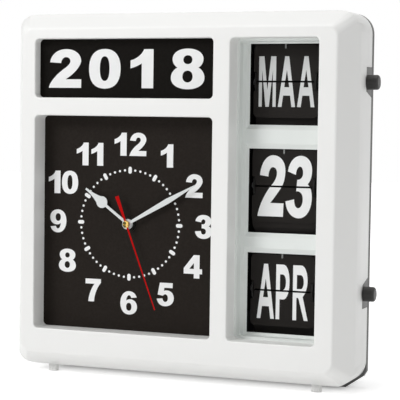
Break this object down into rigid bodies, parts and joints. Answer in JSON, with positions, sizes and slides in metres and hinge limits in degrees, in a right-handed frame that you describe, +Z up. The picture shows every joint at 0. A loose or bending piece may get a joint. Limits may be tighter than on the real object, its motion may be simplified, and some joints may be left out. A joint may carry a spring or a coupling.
{
  "type": "wall clock with calendar",
  "caption": "Square bevelled wall clock with a round analogue dial, a year card and split-flap weekday, date and month displays turned by side knobs.",
  "frame": {"origin": "middle of the bounding box's floor area, on the plane that the feet stand on", "axes": "+X to the viewer's right, towards the knobs; +Y from the front to the back; +Z up"},
  "size_m": [0.312, 0.062, 0.306],
  "materials": {
    "shell_white": "satin moulded white",
    "frame_white": "satin moulded off-white",
    "cover_grey": "fine textured dark grey",
    "card_black": "printed matt black",
    "dial_black": "printed matt black",
    "flap_black": "matt black film",
    "drum_black": "moulded dark",
    "spring_steel": "thin spring strip",
    "hand_white": "satin white paint",
    "hand_red": "satin red paint",
    "brass": "turned brass",
    "steel": "plated steel",
    "gear_plastic": "natural moulded plastic",
    "rotor_magnet": "sintered magnet",
    "movement_black": "moulded black",
    "knob_black": "moulded black",
    "copper_wire": "wound enamelled wire",
    "board_green": "green laminate",
    "battery_shell": "plain silver sleeve"
  },
  "bodies": {
    "case": {"front_housing": "shell_white", "rear_cover": "cover_grey", "cover_screws": "steel", "inner_screws": "steel", "year_card": "card_black", "dial_plate": "dial_black", "calendar_frame": "frame_white", "movement_case": "movement_black", "movement_back": "movement_black", "hand_nut": "brass", "hand_washer": "brass", "coil": "copper_wire", "circuit_board": "board_green", "battery": "battery_shell", "battery_contacts": "steel", "left_plate": "steel", "right_plate": "steel", "tie_rods": "steel", "weekday_pack": "flap_black", "date_pack": "flap_black", "month_pack": "flap_black", "weekday_finger": "spring_steel", "date_finger": "spring_steel", "month_finger": "spring_steel"},
    "hour": {"hour_hand": "hand_white", "hour_wheel": "gear_plastic"},
    "minute": {"minute_hand": "hand_white", "minute_arbor": "brass"},
    "second": {"second_hand": "hand_red", "second_boss": "brass", "second_arbor": "steel"},
    "idler": {"minute_wheel": "gear_plastic"},
    "third": {"third_wheel": "gear_plastic"},
    "clutch": {"clutch_wheel": "gear_plastic"},
    "drive": {"drive_wheel": "gear_plastic"},
    "rotor": {"rotor": "rotor_magnet"},
    "setting": {"set_knob": "knob_black"},
    "door": {"battery_door": "cover_grey"},
    "weekday_drum": {"weekday_shaft": "steel", "weekday_spool": "drum_black", "day_knob": "knob_black", "day_gear": "gear_plastic"},
    "date_drum": {"date_shaft": "steel", "date_spool": "drum_black", "date_gear": "gear_plastic"},
    "month_drum": {"month_shaft": "steel", "month_spool": "drum_black", "month_knob": "knob_black"},
    "link_a": {"link_gear_a": "gear_plastic"},
    "link_b": {"link_gear_b": "gear_plastic"},
    "link_c": {"link_gear_c": "gear_plastic"},
    "weekday_upper": {"weekday_upper_flap": "flap_black"},
    "weekday_next": {"weekday_next_flap": "flap_black"},
    "weekday_lower": {"weekday_lower_flap": "flap_black"},
    "date_upper": {"date_upper_flap": "flap_black"},
    "date_next": {"date_next_flap": "flap_black"},
    "date_lower": {"date_lower_flap": "flap_black"},
    "month_upper": {"month_upper_flap": "flap_black"},
    "month_next": {"month_next_flap": "flap_black"},
    "month_lower": {"month_lower_flap": "flap_black"}
  },
  "joints": [
    {"name": "minute_spin", "type": "hinge", "parent": "case", "child": "minute", "pos_m": [-0.0505, -0.031, 0.13], "axis": [0, 1, 0], "continuous": true},
    {"name": "hour_spin", "type": "hinge", "parent": "case", "child": "hour", "pos_m": [-0.0505, -0.031, 0.13], "axis": [0, 1, 0], "continuous": true},
    {"name": "idler_spin", "type": "hinge", "parent": "case", "child": "idler", "pos_m": [-0.0405, -0.031, 0.13], "axis": [0, 1, 0], "continuous": true},
    {"name": "setting_spin", "type": "hinge", "parent": "case", "child": "setting", "pos_m": [-0.0355, -0.031, 0.13866], "axis": [0, 1, 0], "continuous": true},
    {"name": "second_spin", "type": "hinge", "parent": "case", "child": "second", "pos_m": [-0.0505, -0.031, 0.13], "axis": [0, 1, 0], "continuous": true},
    {"name": "third_spin", "type": "hinge", "parent": "case", "child": "third", "pos_m": [-0.0607, -0.031, 0.13], "axis": [0, 1, 0], "continuous": true},
    {"name": "clutch_spin", "type": "hinge", "parent": "case", "child": "clutch", "pos_m": [-0.0505, -0.031, 0.13], "axis": [0, 1, 0], "continuous": true},
    {"name": "drive_spin", "type": "hinge", "parent": "case", "child": "drive", "pos_m": [-0.04529, -0.031, 0.13437], "axis": [0, 1, 0], "continuous": true},
    {"name": "rotor_spin", "type": "hinge", "parent": "case", "child": "rotor", "pos_m": [-0.04442, -0.031, 0.1393], "axis": [0, 1, 0], "continuous": true},
    {"name": "day_turn", "type": "hinge", "parent": "case", "child": "weekday_drum", "pos_m": [0.081, 0.012, 0.2498], "axis": [1, 0, 0], "range_deg": [0, 25.71], "deforming": ["weekday_finger", "date_finger"]},
    {"name": "date_turn", "type": "hinge", "parent": "case", "child": "date_drum", "pos_m": [0.081, 0.012, 0.1646], "axis": [1, 0, 0], "range_deg": [0, 12]},
    {"name": "link_a_turn", "type": "hinge", "parent": "case", "child": "link_a", "pos_m": [0.081, 0.012, 0.233], "axis": [1, 0, 0], "range_deg": [-13, 0]},
    {"name": "link_b_turn", "type": "hinge", "parent": "case", "child": "link_b", "pos_m": [0.081, 0.012, 0.2106], "axis": [1, 0, 0], "range_deg": [0, 13]},
    {"name": "link_c_turn", "type": "hinge", "parent": "case", "child": "link_c", "pos_m": [0.081, 0.012, 0.1882], "axis": [1, 0, 0], "range_deg": [-13, 0]},
    {"name": "month_turn", "type": "hinge", "parent": "case", "child": "month_drum", "pos_m": [0.081, 0.012, 0.0794], "axis": [1, 0, 0], "range_deg": [0, 30], "deforming": ["month_finger"]},
    {"name": "weekday_upper_fall", "type": "hinge", "parent": "weekday_drum", "child": "weekday_upper", "pos_m": [0.081, 0.0003, 0.25247], "axis": [1, 0, 0], "range_deg": [0, 170]},
    {"name": "weekday_next_swing", "type": "hinge", "parent": "weekday_drum", "child": "weekday_next", "pos_m": [0.081, 0.00262, 0.25728], "axis": [1, 0, 0], "range_deg": [-31, 0]},
    {"name": "weekday_lower_swing", "type": "hinge", "parent": "weekday_drum", "child": "weekday_lower", "pos_m": [0.081, 0.0003, 0.24713], "axis": [1, 0, 0], "range_deg": [-31, 0]},
    {"name": "date_upper_fall", "type": "hinge", "parent": "date_drum", "child": "date_upper", "pos_m": [0.081, 0.00006, 0.16581], "axis": [1, 0, 0], "range_deg": [0, 170]},
    {"name": "date_next_swing", "type": "hinge", "parent": "date_drum", "child": "date_next", "pos_m": [0.081, 0.00055, 0.16819], "axis": [1, 0, 0], "range_deg": [-31, 0]},
    {"name": "date_lower_swing", "type": "hinge", "parent": "date_drum", "child": "date_lower", "pos_m": [0.081, 0.00006, 0.16339], "axis": [1, 0, 0], "range_deg": [-31, 0]},
    {"name": "month_upper_fall", "type": "hinge", "parent": "month_drum", "child": "month_upper", "pos_m": [0.081, 0.00041, 0.08251], "axis": [1, 0, 0], "range_deg": [0, 170]},
    {"name": "month_next_swing", "type": "hinge", "parent": "month_drum", "child": "month_next", "pos_m": [0.081, 0.00351, 0.08789], "axis": [1, 0, 0], "range_deg": [-31, 0]},
    {"name": "month_lower_swing", "type": "hinge", "parent": "month_drum", "child": "month_lower", "pos_m": [0.081, 0.00041, 0.07629], "axis": [1, 0, 0], "range_deg": [-31, 0]},
    {"name": "door_slide", "type": "slide", "parent": "case", "child": "door", "axis": [0, 1, 0], "range_m": [0, 0.025]}
  ],
  "couplings": [
    {"joint": "hour_spin", "follows": "minute_spin", "ratio": 0.083333},
    {"joint": "idler_spin", "follows": "minute_spin", "ratio": -0.33333},
    {"joint": "setting_spin", "follows": "minute_spin", "ratio": 1},
    {"joint": "third_spin", "follows": "second_spin", "ratio": -0.13333},
    {"joint": "clutch_spin", "follows": "second_spin", "ratio": 0.016667},
    {"joint": "drive_spin", "follows": "second_spin", "ratio": -7.5},
    {"joint": "rotor_spin", "follows": "second_spin", "ratio": 30},
    {"joint": "date_turn", "follows": "day_turn", "ratio": 0.45161},
    {"joint": "link_a_turn", "follows": "day_turn", "ratio": -0.5},
    {"joint": "link_b_turn", "follows": "day_turn", "ratio": 0.5},
    {"joint": "link_c_turn", "follows": "day_turn", "ratio": -0.5},
    {"joint": "weekday_upper_fall", "follows": "day_turn", "ratio": 6},
    {"joint": "weekday_next_swing", "follows": "day_turn", "ratio": -1},
    {"joint": "weekday_lower_swing", "follows": "day_turn", "ratio": -1},
    {"joint": "date_upper_fall", "follows": "day_turn", "ratio": 6.5484},
    {"joint": "date_next_swing", "follows": "day_turn", "ratio": -0.45161},
    {"joint": "date_lower_swing", "follows": "day_turn", "ratio": -0.45161},
    {"joint": "month_upper_fall", "follows": "month_turn", "ratio": 5},
    {"joint": "month_next_swing", "follows": "month_turn", "ratio": -1},
    {"joint": "month_lower_swing", "follows": "month_turn", "ratio": -1}
  ]
}
